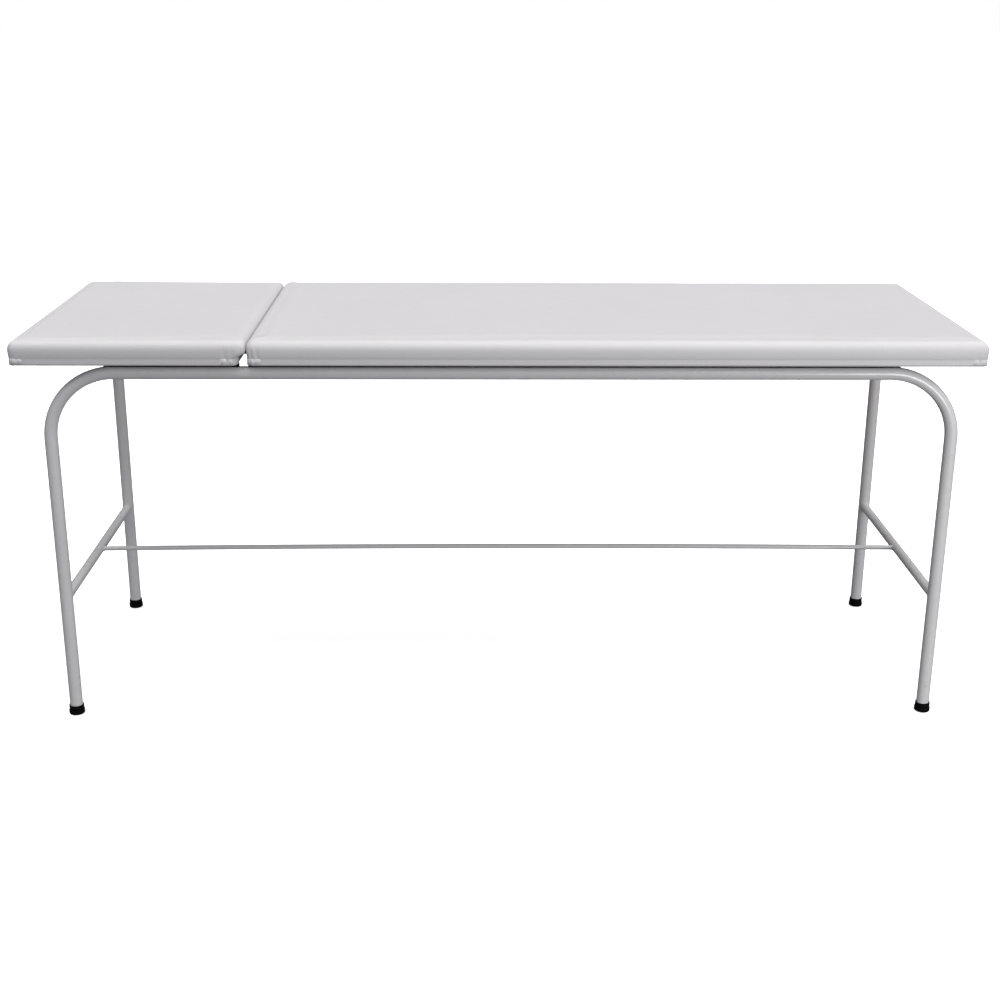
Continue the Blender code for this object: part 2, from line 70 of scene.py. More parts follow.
CAMERA_LENS = 53.163        # millimetres on a 36 mm wide sensor

OVERHEAD_STRENGTH = 2.20
OVERHEAD_ANGLE = radians(54)
OVERHEAD_COLOR = (1.0, 0.990, 0.950)
KEY_AT = Vector((0.90, -2.45, 2.05))
KEY_TARGET = Vector((0.10, -0.28, 0.72))
KEY_SIZE = 0.40
KEY_POWER = 2.0
FILL_AT = Vector((1.80, -2.90, 0.55))
FILL_TARGET = Vector((0.45, -0.3, 0.74))
FILL_SIZE = 1.1
FILL_POWER = 31.0
SKY_COLOR = (0.945, 0.935, 1.0)
SKY_STRENGTH = 0.42
GROUND_STRENGTH = 0.12
SKY_LEFT, SKY_RIGHT = 0.72, 1.28    # share of the sky's light from each end of the bed
SKY_EDGE = 0.25                     # direction's Z at which the sky reaches its full strength
FLOOR_GLOW = 0.64

# --- levels and places read from the frame ---------------------------------------
FRAME_LOW, FRAME_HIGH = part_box("side_frame_front")
TUBE_R = (FRAME_HIGH.y - FRAME_LOW.y) / 2
BASE_X = (FRAME_LOW.x + FRAME_HIGH.x) / 2
LEG_X = FRAME_HIGH.x - TUBE_R - BASE_X
LEG_Y = -(FRAME_LOW.y + FRAME_HIGH.y) / 2
RAIL_Z = FRAME_HIGH.z - TUBE_R
LEG_BOTTOM = FRAME_LOW.z
BEND_R = 0.130
TUBE_WALL = 0.0015
CROSS_WALL = 0.0012
BAR_BOW = 0.0045                # rise of the long bar's middle
FOOT_STEP = 0.0011              # the rubber foot's base band stands out this far past its body
FOOT_EDGE_R = 0.0026
FOOT_TREAD = 0.0007             # depth of the rings in its sole

HINGE = Vector(frame["joints"][0]["pos_m"])
GAP = 0.0003
VINYL_T = 0.0012
BOARD_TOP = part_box("main_board")[1].z
PAD_BOTTOM, PAD_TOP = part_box("main_cover")[0].z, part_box("main_cover")[1].z
SIDES = (("front", -1), ("rear", 1))
ENDS = (("head", -1), ("foot", 1))

# --- upholstery --------------------------------------------------------------------
CONTACT_X = HINGE.x + 0.0083    # where the two pads' tops meet
OUTER_CORNER_R = 0.0125
HINGE_CORNER_R = 0.0150
PAD_EDGE_R = 0.0185
BOARD_INSET = 0.0010            # from the pad's outline to the vinyl over the board's edge
PAD_PROUD = 0.0004              # the foam stands out this much past the outline
SIDE_ROLL = 0.0009              # and rolls in by this much on its way down to the crease
PAD_START_DROP = 0.0014         # its top starts this much below the pad's final top
HEM_WIDTH = 0.032
LEAST_CORNER_R = 0.0045
TOP_SWELL = 0.0020              # the most that the simulation may lift the top
SIDE_SWELL = 0.0006             # or push out the sides
CORNER_CELLS = 4
FINE_CELL = 0.0040
COARSE_CELL = 0.0125
CELL_GROWTH = 1.22
LEAN_LENGTH = 0.060
LEAN_RISE = 0.0125              # height over which the head foam leans over its board's end
PRESS = 0.0012                  # how far each pad would reach past the contact plane

TUBE_SIDES = 48
BEND_STEPS = 28

X_AXIS, Y_AXIS, Z_AXIS = Vector((1, 0, 0)), Vector((0, 1, 0)), Vector((0, 0, 1))


# --- mesh helpers ----------------------------------------------------------------------
def add_piece(name, mesh, body, material, replaces=(), smooth_angle=40):
    """Link a finished mesh as a piece that rides on a body."""
    mesh.shade_smooth()
    if smooth_angle:
        mesh.set_sharp_from_angle(angle=radians(smooth_angle))
    mesh.materials.append(material)
    piece = bpy.data.objects.new(name, mesh)
    bpy.context.scene.collection.objects.link(piece)
    if body:
        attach(piece, body)
    if replaces:
        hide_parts(*replaces)
    return piece


def mesh_from(name, vertices, faces):
    mesh = bpy.data.meshes.new(name)
    mesh.from_pydata([tuple(v) for v in vertices], [], faces)
    bm = bmesh.new()
    bm.from_mesh(mesh)
    bmesh.ops.recalc_face_normals(bm, faces=bm.faces)
    bm.to_mesh(mesh)
    bm.free()
    return mesh


def ring_faces(first, second, count):
    return [(first + i, first + (i + 1) % count, second + (i + 1) % count, second + i)
            for i in range(count)]


class Shape:
    """Collects closed bodies of rings before they become one mesh."""

    def __init__(self):
        self.vertices = []
        self.faces = []

    def add_rings(self, rings, wrap=False):
        """Quads between rings; the ends are capped, or joined when wrap is set."""
        start, count = len(self.vertices), len(rings[0])
        for ring in rings:
            self.vertices.extend(ring)
        firsts = [start + i * count for i in range(len(rings))]
        for first, second in zip(firsts, firsts[1:]):
            self.faces += ring_faces(first, second, count)
        if wrap:
            self.faces += ring_faces(firsts[-1], firsts[0], count)
        else:
            self.faces.append(tuple(range(firsts[0], firsts[0] + count)))
            self.faces.append(tuple(range(firsts[-1], firsts[-1] + count)))

    def mesh(self, name):
        return mesh_from(name, self.vertices, self.faces)


def circle(radius, sides, phase=0.0):
    return [(radius * cos(phase + tau * i / sides), radius * sin(phase + tau * i / sides))
            for i in range(sides)]


def turned_rings(centre, profile, sides=TUBE_SIDES):
    """Rings about a vertical axis from (height, radius) pairs."""
    return [[centre + Vector((u, v, height)) for u, v in circle(radius, sides)]
            for height, radius in profile]


def read_vertices(mesh, what="co"):
    """The vertices' positions, or their normals, as rows of three numbers."""
    values = np.empty(len(mesh.vertices) * 3)
    mesh.vertices.foreach_get(what, values)
    return values.reshape(-1, 3)


def write_vertices(mesh, positions):
    mesh.vertices.foreach_set("co", positions.ravel())
    mesh.update()


def smooth_step(t):
    t = np.clip(t, 0.0, 1.0)
    return t * t * (3 - 2 * t)


# --- materials ---------------------------------------------------------------------------
class Finish:
    """A procedural material under construction: a Principled shader and its texture nodes."""

    def __init__(self, name, roughness, metallic=0.0, specular=0.5):
        self.material = bpy.data.materials.new(name)
        self.material.use_nodes = True
        self.tree = self.material.node_tree
        self.shader = self.tree.nodes["Principled BSDF"]
        self.shader.inputs["Roughness"].default_value = roughness
        self.shader.inputs["Metallic"].default_value = metallic
        self.shader.inputs["Specular IOR Level"].default_value = specular
        self.position = self.tree.nodes.new("ShaderNodeTexCoord").outputs["Object"]
        self.bumped = None

    def node(self, kind, **values):
        made = self.tree.nodes.new("ShaderNode" + kind)
        for key, value in values.items():
            if hasattr(made, key):
                setattr(made, key, value)
            else:
                made.inputs[key.replace("_", " ")].default_value = value
        return made

    def link(self, output, target):
        self.tree.links.new(output, target)

    def stretched(self, scale):
        mapping = self.node("Mapping")
        mapping.inputs["Scale"].default_value = scale
        self.link(self.position, mapping.inputs["Vector"])
        return mapping.outputs["Vector"]

    def noise(self, scale, detail=3.0, roughness=0.5, where=None):
        made = self.node("TexNoise", Scale=scale, Detail=detail, Roughness=roughness)
        self.link(where or self.position, made.inputs["Vector"])
        return made.outputs["Fac"]

    def cells(self, scale, feature="F1", where=None):
        made = self.node("TexVoronoi", Scale=scale, feature=feature)
        self.link(where or self.position, made.inputs["Vector"])
        return made.outputs["Distance"]

    def remap(self, value, low, high, to_low=0.0, to_high=1.0):
        made = self.node("MapRange", clamp=True)
        for socket, number in zip(made.inputs[1:5], (low, high, to_low, to_high)):
            socket.default_value = number
        self.link(value, made.inputs[0])
        return made.outputs[0]

    def math(self, operation, first, second):
        made = self.node("Math", operation=operation)
        for socket, value in zip(made.inputs, (first, second)):
            if isinstance(value, (int, float)):
                socket.default_value = value
            else:
                self.link(value, socket)
        return made.outputs[0]

    def mix(self, factor, first, second):
        """Mix two colours, each an RGB triple or a node output."""
        made = self.node("Mix", data_type="RGBA")
        self.link(factor, made.inputs["Factor"])
        for socket, value in zip((made.inputs[6], made.inputs[7]), (first, second)):
            if isinstance(value, tuple):
                socket.default_value = (*value, 1.0)
            else:
                self.link(value, socket)
        return made.outputs[2]

    def color(self, output):
        self.link(output, self.shader.inputs["Base Color"])

    def roughness(self, output):
        self.link(output, self.shader.inputs["Roughness"])

    def bump(self, height, distance, strength=1.0):
        made = self.node("Bump", Strength=strength, Distance=distance)
        self.link(height, made.inputs["Height"])
        if self.bumped:
            self.link(self.bumped, made.inputs["Normal"])
        self.bumped = made.outputs["Normal"]
        self.link(self.bumped, self.shader.inputs["Normal"])


def enamel_finish():
    """Off-white gloss enamel: orange peel, slight dust in the finish, scuffed low on the legs."""
    finish = Finish("enamel", roughness=0.30, specular=0.5)
    finish.shader.inputs["Coat Weight"].default_value = 0.5
    finish.shader.inputs["Coat Roughness"].default_value = 0.12
    blotches = finish.noise(7.0, detail=4.0)
    base = finish.mix(finish.remap(blotches, 0.35, 0.70), (0.775, 0.773, 0.770), (0.735, 0.735, 0.735))
    height = finish.node("SeparateXYZ")
    finish.link(finish.position, height.inputs[0])
    low_on_legs = finish.remap(height.outputs["Z"], 0.22, 0.02, 0.0, 1.0)
    scuffs = finish.remap(finish.noise(90.0, detail=6.0, roughness=0.7), 0.60, 0.72)
    wear = finish.math("ADD", finish.math("MULTIPLY", low_on_legs, 0.5), 0.06)
    worn = finish.math("MULTIPLY", scuffs, wear)
    finish.color(finish.mix(worn, base, (0.40, 0.39, 0.38)))
    finish.roughness(finish.remap(finish.noise(40.0, detail=5.0), 0.3, 0.7, 0.24, 0.36))
    finish.bump(finish.noise(420.0, detail=2.0), 0.00012, 0.55)
    finish.bump(finish.noise(38.0, detail=1.0), 0.0004, 0.30)
    return finish.material


def weld_finish():
    """The same enamel where it runs over a weld bead."""
    finish = Finish("enamel_weld", roughness=0.36, specular=0.5)
    blotches = finish.remap(finish.noise(260.0), 0.35, 0.65)
    finish.color(finish.mix(blotches, (0.74, 0.74, 0.74), (0.66, 0.66, 0.665)))
    finish.roughness(finish.remap(finish.noise(300.0), 0.3, 0.7, 0.30, 0.46))
    finish.bump(finish.noise(650.0, detail=3.0), 0.0003, 0.6)
    return finish.material


def vinyl_finish():
    """White upholstery vinyl with a fine leather grain and a soft sheen."""
    finish = Finish("vinyl", roughness=0.48, specular=0.32)
    finish.shader.inputs["Sheen Weight"].default_value = 0.05
    finish.shader.inputs["Sheen Roughness"].default_value = 0.5
    wide = finish.remap(finish.noise(2.6, detail=5.0, roughness=0.55), 0.32, 0.70)
    base = finish.mix(wide, (0.716, 0.708, 0.722), (0.694, 0.690, 0.700))
    grime = finish.remap(finish.noise(26.0, detail=6.0, roughness=0.65), 0.55, 0.80, 0.0, 0.35)
    base = finish.mix(grime, base, (0.655, 0.648, 0.640))
    pebbles = finish.cells(820.0, "SMOOTH_F1")
    pores = finish.remap(pebbles, 0.25, 0.62)
    finish.color(finish.mix(finish.math("MULTIPLY", pores, 0.22), base, (0.60, 0.595, 0.60)))
    finish.roughness(finish.remap(finish.noise(60.0, detail=4.0), 0.3, 0.7, 0.40, 0.54))
    finish.bump(finish.noise(9.0, detail=2.0), 0.0022, 0.22)
    finish.bump(finish.noise(2100.0, detail=2.0), 0.00008, 0.5)
    finish.bump(finish.math("SUBTRACT", 1.0, pebbles), 0.00022, 0.55)
    return finish.material


def rubber_finish():
    """Matt black rubber, with dust in its pores."""
    finish = Finish("rubber", roughness=0.80, specular=0.12)
    dust = finish.remap(finish.noise(180.0, detail=6.0, roughness=0.7), 0.52, 0.78, 0.0, 0.6)
    finish.color(finish.mix(dust, (0.0012, 0.0012, 0.0013), (0.0040, 0.0038, 0.0036)))
    finish.roughness(finish.remap(finish.noise(220.0), 0.3, 0.7, 0.62, 0.82))
    finish.bump(finish.noise(900.0, detail=3.0), 0.0002, 0.5)
    return finish.material


def plywood_finish():
    """Birch plywood: grain along the bed on its faces, thin plies on its edges."""
    finish = Finish("plywood", roughness=0.68, specular=0.25)
    along = finish.stretched((0.9, 16.0, 16.0))
    figure = finish.noise(6.0, detail=7.0, roughness=0.62, where=along)
    pores = finish.noise(60.0, detail=4.0, roughness=0.7, where=along)
    face = finish.mix(finish.remap(figure, 0.34, 0.68), (0.60, 0.43, 0.26), (0.40, 0.25, 0.13))
    face = finish.mix(finish.remap(pores, 0.56, 0.74, 0.0, 0.6), face, (0.27, 0.16, 0.08))
    height = finish.node("SeparateXYZ")
    finish.link(finish.position, height.inputs[0])
    layers = finish.math("PINGPONG", height.outputs["Z"], 0.0024)
    plies = finish.mix(finish.remap(layers, 0.0008, 0.0016), (0.50, 0.34, 0.19), (0.24, 0.14, 0.07))
    normal = finish.node("SeparateXYZ")
    finish.link(finish.node("NewGeometry").outputs["Normal"], normal.inputs[0])
    flat = finish.math("ABSOLUTE", normal.outputs["Z"], 0.0)
    finish.color(finish.mix(finish.remap(flat, 0.45, 0.75), plies, face))
    finish.roughness(finish.remap(figure, 0.3, 0.7, 0.60, 0.78))
    finish.bump(pores, 0.0003, 0.4)
    return finish.material


def zinc_finish():
    """Zinc-plated steel: faint spangle, brushed scratches, duller in patches."""
    finish = Finish("zinc_steel", roughness=0.34, metallic=1.0)
    spangle = finish.cells(260.0)
    base = finish.mix(finish.remap(spangle, 0.2, 0.7), (0.66, 0.66, 0.67), (0.52, 0.52, 0.53))
    tarnish = finish.remap(finish.noise(110.0, detail=5.0), 0.50, 0.72, 0.0, 0.7)
    finish.color(finish.mix(tarnish, base, (0.40, 0.385, 0.36)))
    finish.roughness(finish.remap(finish.noise(150.0, detail=4.0), 0.3, 0.7, 0.26, 0.48))
    scratches = finish.noise(500.0, detail=2.0, where=finish.stretched((1.0, 0.06, 1.0)))
    finish.bump(scratches, 0.00012, 0.4)
    return finish.material


def painted_steel_finish():
    """Brushed-on white enamel over flat steel: the racks, brackets and prop arms."""
    finish = Finish("enamel_flats", roughness=0.34, specular=0.5)
    brushed = finish.remap(finish.noise(30.0, detail=4.0), 0.35, 0.65)
    base = finish.mix(brushed, (0.77, 0.77, 0.775), (0.70, 0.70, 0.71))
    chips = finish.remap(finish.noise(210.0, detail=5.0, roughness=0.65), 0.66, 0.70)
    finish.color(finish.mix(chips, base, (0.33, 0.31, 0.29)))
    finish.roughness(finish.remap(finish.noise(80.0), 0.3, 0.7, 0.28, 0.44))
    finish.bump(finish.noise(500.0, detail=2.0), 0.00018, 0.5)
    return finish.material


# --- frame ------------------------------------------------------------------------------------
def bend_stations(sign, y, first_angle, last_angle, steps):
    """Stations on the bend at one end, with the angle measured from the rail's top."""
    centre = Vector((BASE_X + sign * (LEG_X - BEND_R), y, RAIL_Z - BEND_R))
    stations = []
    for i in range(steps + 1):
        angle = first_angle + (last_angle - first_angle) * i / steps
        normal = Vector((sign * sin(angle), 0, cos(angle)))
        stations.append((centre + normal * BEND_R, normal, sin(2 * min(angle, pi - angle))))
    return stations


def make_side_frames(material):
    """Each side frame is one bent tube, slightly oval in its bends as bent tube is."""
    ovality = 0.025
    for side, sign in SIDES:
        y = sign * LEG_Y
        stations = [(Vector((BASE_X - LEG_X, y, LEG_BOTTOM)), -X_AXIS, 0.0)]
        stations += bend_stations(-1, y, pi / 2, 0, BEND_STEPS)
        stations += bend_stations(1, y, 0, pi / 2, BEND_STEPS)
        stations.append((Vector((BASE_X + LEG_X, y, LEG_BOTTOM)), X_AXIS, 0.0))
        skins = []
        for radius in (TUBE_R, TUBE_R - TUBE_WALL):
            skins.append([[point + normal * (u * (1 - ovality * bent)) + Y_AXIS * v
                           for u, v in circle(radius, TUBE_SIDES)]
                          for point, normal, bent in stations])
        shape = Shape()
        shape.add_rings(skins[0] + skins[1][::-1], wrap=True)
        name = f"side_frame_{side}"
        add_piece(f"bent_tube_{side}", shape.mesh(name), "root", material, [name])


def coped_tube(centre_x, centre_z, radius, wall, end_at):
    """Tube along Y whose ends follow end_at(x offset, z), like a coped tube against a round one."""
    sides = 32
    rings = []
    for r in (radius, radius - wall):
        skin = []
        for sign in (-1, 1):
            skin.append([Vector((centre_x + u, sign * end_at(u, centre_z + v), centre_z + v))
                         for u, v in circle(r, sides)])
        rings.append(skin)
    outer, inner = rings
    shape = Shape()
    shape.add_rings([outer[0], outer[1], inner[1], inner[0]], wrap=True)
    return shape


def against_leg(offset_x, z):
    return LEG_Y - sqrt(TUBE_R ** 2 - offset_x ** 2)


def against_rail(reach):
    """Distance to the rail's skin at a height, or to the end of the tube where it passes over."""
    def end_at(offset_x, z):
        rise = z - RAIL_Z
        if abs(rise) >= TUBE_R:
            return reach
        return min(reach, LEG_Y - sqrt(TUBE_R ** 2 - rise ** 2))
    return end_at


def weld_ring(shape, line, radius, seed):
    """A lumpy bead along a closed line of (point, outward normal) pairs."""
    count, sides = len(line), 8
    rings = []
    for i, (point, normal) in enumerate(line):
        ahead, behind = line[(i + 1) % count][0], line[i - 1][0]
        across = (ahead - behind).normalized().cross(normal).normalized()
        lump = 1 + 0.16 * sin(tau * 9 * i / count + seed) + 0.10 * sin(tau * 17 * i / count + 2.1 * seed)
        rings.append([point + normal * u + across * v for u, v in circle(radius * lump, sides)])
    shape.add_rings(rings, wrap=True)


def weld_around(centre_x, centre_z, radius, end_at, side):
    """Closed line where a tube along Y meets a tube that crosses it."""
    line = []
    for u, v in circle(radius, 40):
        point = Vector((centre_x + u, side * end_at(u, centre_z + v), centre_z + v))
        line.append((point, Vector((u, -0.5 * side * radius, v)).normalized()))
    return line


def make_cross_tubes(material, weld):
    beads = Shape()
    for end, sign in ENDS:
        name = f"cross_stretcher_{end}"
        low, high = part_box(name)
        radius, x, z = (high.z - low.z) / 2, BASE_X + sign * LEG_X, (low.z + high.z) / 2
        shape = coped_tube(x, z, radius, CROSS_WALL, against_leg)
        add_piece(f"low_tube_{end}", shape.mesh(name), "root", material, [name])
        for _, side in SIDES:
            weld_ring(beads, weld_around(x, z, radius, against_leg, side), 0.0019, side + sign)
    for place in ("head", "hinge", "middle", "foot"):
        name = f"top_member_{place}"
        low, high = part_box(name)
        radius, x, z = (high.x - low.x) / 2, (low.x + high.x) / 2, (low.z + high.z) / 2
        end_at = against_rail(high.y)
        shape = coped_tube(x, z, radius, CROSS_WALL, end_at)
        add_piece(f"top_tube_{place}", shape.mesh(name), "root", material, [name])
        for _, side in SIDES:
            line = weld_around(x, z, radius, end_at, side)
            lowered = [(Vector((p.x, p.y, min(p.z, PAD_BOTTOM - 0.0022))), n) for p, n in line]
            weld_ring(beads, lowered, 0.0017, x + side)
    make_long_bar(material, beads)
    add_piece("weld_beads", beads.mesh("weld_beads"), "root", weld, smooth_angle=0)


def make_long_bar(material, beads):
    """Thin round bar between the low tubes, coped and welded to them."""
    low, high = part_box("long_stretcher")
    radius, z = (high.z - low.z) / 2, (low.z + high.z) / 2
    stretcher_low, stretcher_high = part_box("cross_stretcher_head")
    tube_r = (stretcher_high.z - stretcher_low.z) / 2
    sides, steps = 24, 40

    def ring(x, rise):
        return [Vector((BASE_X + x, u, z + rise + v)) for u, v in circle(radius, sides)]

    def coped_point(sign, u, v):
        return Vector((BASE_X + sign * (LEG_X - sqrt(tube_r ** 2 - v ** 2)), u, z + v))

    def end_ring(sign):
        return [coped_point(sign, u, v) for u, v in circle(radius, sides)]

    inside = LEG_X - tube_r - 0.004
    rings = [end_ring(-1)]
    for i in range(steps + 1):
        x = -inside + 2 * inside * i / steps
        rings.append(ring(x, BAR_BOW * (1 - (x / inside) ** 2)))
    rings.append(end_ring(1))
    shape = Shape()
    shape.add_rings(rings)
    add_piece("long_bar", shape.mesh("long_stretcher"), "root", material, ["long_stretcher"])
    for sign in (-1, 1):
        line = []
        for u, v in circle(radius, 28):
            line.append((coped_point(sign, u, v), Vector((-0.5 * sign * radius, u, v)).normalized()))
        weld_ring(beads, line, 0.0014, 3.0 + sign)


def make_feet(material):
    """Moulded rubber ferrules: a wider base band, a grooved body and a thin top lip."""
    for side, _ in SIDES:
        for end, _ in ENDS:
            name = f"rubber_foot_{side}_{end}"
            low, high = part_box(name)
            centre = Vector(((low.x + high.x) / 2, (low.y + high.y) / 2, low.z))
            radius, height = (high.x - low.x) / 2, high.z - low.z
            body = radius - FOOT_STEP
            bore = TUBE_R + GAP
            floor = LEG_BOTTOM - low.z - GAP
            profile = [(FOOT_TREAD, radius * 0.30), (0.0, radius * 0.34), (0.0, radius * 0.44),
                       (FOOT_TREAD, radius * 0.48), (FOOT_TREAD, radius * 0.58), (0.0, radius * 0.62),
                       (0.0, radius - FOOT_EDGE_R)]
            for i in range(1, 7):
                turn = pi / 2 * i / 6
                profile.append((FOOT_EDGE_R * (1 - cos(turn)), radius - FOOT_EDGE_R * (1 - sin(turn))))
            profile += [(height * 0.40, radius), (height * 0.44, radius - 0.0002),
                        (height * 0.47, body - 0.0003), (height * 0.50, body), (height * 0.80, body),
                        (height * 0.83, body - 0.0004), (height * 0.87, body - 0.0004),
                        (height * 0.90, body), (height * 0.97, body - 0.0001), (height, body - 0.0005),
                        (height, bore + 0.0004), (height - 0.0004, bore), (floor, bore)]
            shape = Shape()
            shape.add_rings(turned_rings(centre, profile))
            add_piece(f"ferrule_{side}_{end}", shape.mesh(name), "root", material, [name],
                      smooth_angle=50)


def make_painted_gap_strips(material):
    """Black rubber strips seated on the rails' tops, flat under the pads, running out on the bends: painted
    shade that stands in for the shadow gap between the pads and the rails.
    """
    inner_angle, outer_angle, bend_angle = radians(25), radians(22), radians(8)
    low, steps = TUBE_R + GAP, 14
    thickness = PAD_BOTTOM - GAP - RAIL_Z - low
    for side, y_sign in SIDES:
        for section, x_sign in (("head", -1), ("main", 1)):
            name = f"seat_strip_{section}_{side}"
            start_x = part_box(name)[1 if section == "head" else 0].x
            stations = [(Vector((start_x, y_sign * LEG_Y, RAIL_Z)), Z_AXIS, 0)]
            stations += bend_stations(x_sign, y_sign * LEG_Y, 0, bend_angle, 12)
            rings = []
            for i, (point, normal, _) in enumerate(stations):
                left = 1 - 0.94 * smooth_step((i - 1) / (len(stations) - 2))
                thin = thickness * left
                arc = [(-inner_angle + (inner_angle + outer_angle) * k / steps) * (0.45 + 0.55 * left)
                       for k in range(steps + 1)]
                outside = []
                for k, a in enumerate(arc):
                    r = low + thin * (0.72, 0.95, 1.0)[min(k, steps - k, 2)]
                    outside.append(point + normal * (r * cos(a)) + Y_AXIS * (y_sign * r * sin(a)))
                inside = [point + normal * (low * cos(a)) + Y_AXIS * (y_sign * low * sin(a))
                          for a in reversed(arc)]
                rings.append(outside + inside)
            shape = Shape()
            shape.add_rings(rings)
            add_piece(f"gap_shadow_strip_{section}_{side}", shape.mesh(name), "root", material, [name],
                      smooth_angle=50)


# --- pads ----------------------------------------------------------------------------------------
def graded(length):
    """Cell edges along a length, fine at both ends and coarse in the middle."""
    sizes, size, used = [], FINE_CELL, 0.0
    while used + size < length / 2:
        sizes.append(size)
        used += size
        size = min(size * CELL_GROWTH, COARSE_CELL)
    edges = np.concatenate(([0.0], np.cumsum(sizes + sizes[::-1])))
    return edges * length / edges[-1]


class PadForm:
    """Grid of an upholstered block, whose edge loop can be offset to any inset and height.

    A point is kept as its share of the way along the block in x and y, and an
    outward direction from there, so the corners can be rounder at one end.
    """

    def __init__(self, low, high, corner_radii, first_inset):
        self.low, self.high = np.array(low[:2]), np.array(high[:2])
        self.corner_radii = corner_radii
        block = np.arange(1, CORNER_CELLS + 1) / CORNER_CELLS
        shares, offsets = [], []
        for length in self.high - self.low - 2 * max(corner_radii):
            middle = graded(length) / length
            shares.append(np.concatenate((np.zeros(CORNER_CELLS), middle, np.ones(CORNER_CELLS))))
            offsets.append(np.concatenate((-block[::-1], np.zeros(len(middle)), block)))
        share = np.stack(np.meshgrid(*shares, indexing="ij"), axis=-1)
        away = np.stack(np.meshgrid(*offsets, indexing="ij"), axis=-1)
        size = np.abs(away)
        reach = size.max(axis=-1)
        angle = pi / 4 * size.min(axis=-1) / np.maximum(reach, 1e-9)
        turn = np.where(size[..., 0] >= size[..., 1], angle, pi / 2 - angle)
        outward = np.stack((np.cos(turn), np.sin(turn)), axis=-1) * np.sign(away)
        self.grid = self.place(share, outward, first_inset, reach)
        nx, ny = self.shape = reach.shape
        self.loop = [(i, 0) for i in range(nx)] + [(nx - 1, j) for j in range(1, ny)]
        self.loop += [(i, ny - 1) for i in range(nx - 2, -1, -1)] + [(0, j) for j in range(ny - 2, 0, -1)]
        self.edge_share = np.array([share[i, j] for i, j in self.loop])
        self.edge_outward = np.array([outward[i, j] for i, j in self.loop])

    def place(self, share, outward, inset, reach=1.0):
        low_r, high_r = (max(r - inset, LEAST_CORNER_R) for r in self.corner_radii)
        radius = low_r + (high_r - low_r) * share[..., 0]
        length, width = self.high - self.low
        x = self.low[0] + inset + low_r + share[..., 0] * (length - 2 * inset - low_r - high_r)
        y = self.low[1] + inset + radius + share[..., 1] * (width - 2 * (inset + radius))
        return np.stack((x, y), axis=-1) + outward * (reach * radius)[..., None]

    def outline(self, inset):
        """The edge loop's points at one inset from the pad's outer outline."""
        return self.place(self.edge_share, self.edge_outward, inset)


def pad_profile():
    """(inset, height, part) of each ring, from the top's edge down and round to the foam's underside."""
    start_top = PAD_TOP - PAD_START_DROP
    rings = []
    for i in range(1, 7):
        turn = pi / 2 * i / 6
        inset = PAD_EDGE_R * (1 - sin(turn)) - PAD_PROUD
        rings.append((inset, start_top - PAD_EDGE_R * (1 - cos(turn)), "foam"))
    side_top, side_low = start_top - PAD_EDGE_R, BOARD_TOP + 0.0018
    for i in range(1, 5):
        height = side_top + (side_low - side_top) * i / 4
        rings.append((SIDE_ROLL * (i / 4) ** 2 - PAD_PROUD, height, "foam"))
    rings += [(BOARD_INSET, BOARD_TOP + 0.0004, "crease"),
              (BOARD_INSET, BOARD_TOP - 0.0032, "board"), (BOARD_INSET, BOARD_TOP - 0.0075, "board"),
              (0.0011, PAD_BOTTOM + 0.0026, "board"), (0.0016, PAD_BOTTOM + 0.0009, "board"),
              (0.0032, PAD_BOTTOM, "hem"), (0.0100, PAD_BOTTOM, "hem"), (0.0210, PAD_BOTTOM, "hem"),
              (HEM_WIDTH, PAD_BOTTOM + 0.0001, "hem"), (HEM_WIDTH, PAD_BOTTOM + VINYL_T, "pocket"),
              (0.0160, PAD_BOTTOM + VINYL_T, "pocket"), (VINYL_T, PAD_BOTTOM + VINYL_T, "pocket"),
              (VINYL_T, BOARD_TOP + GAP, "pocket")]
    return rings


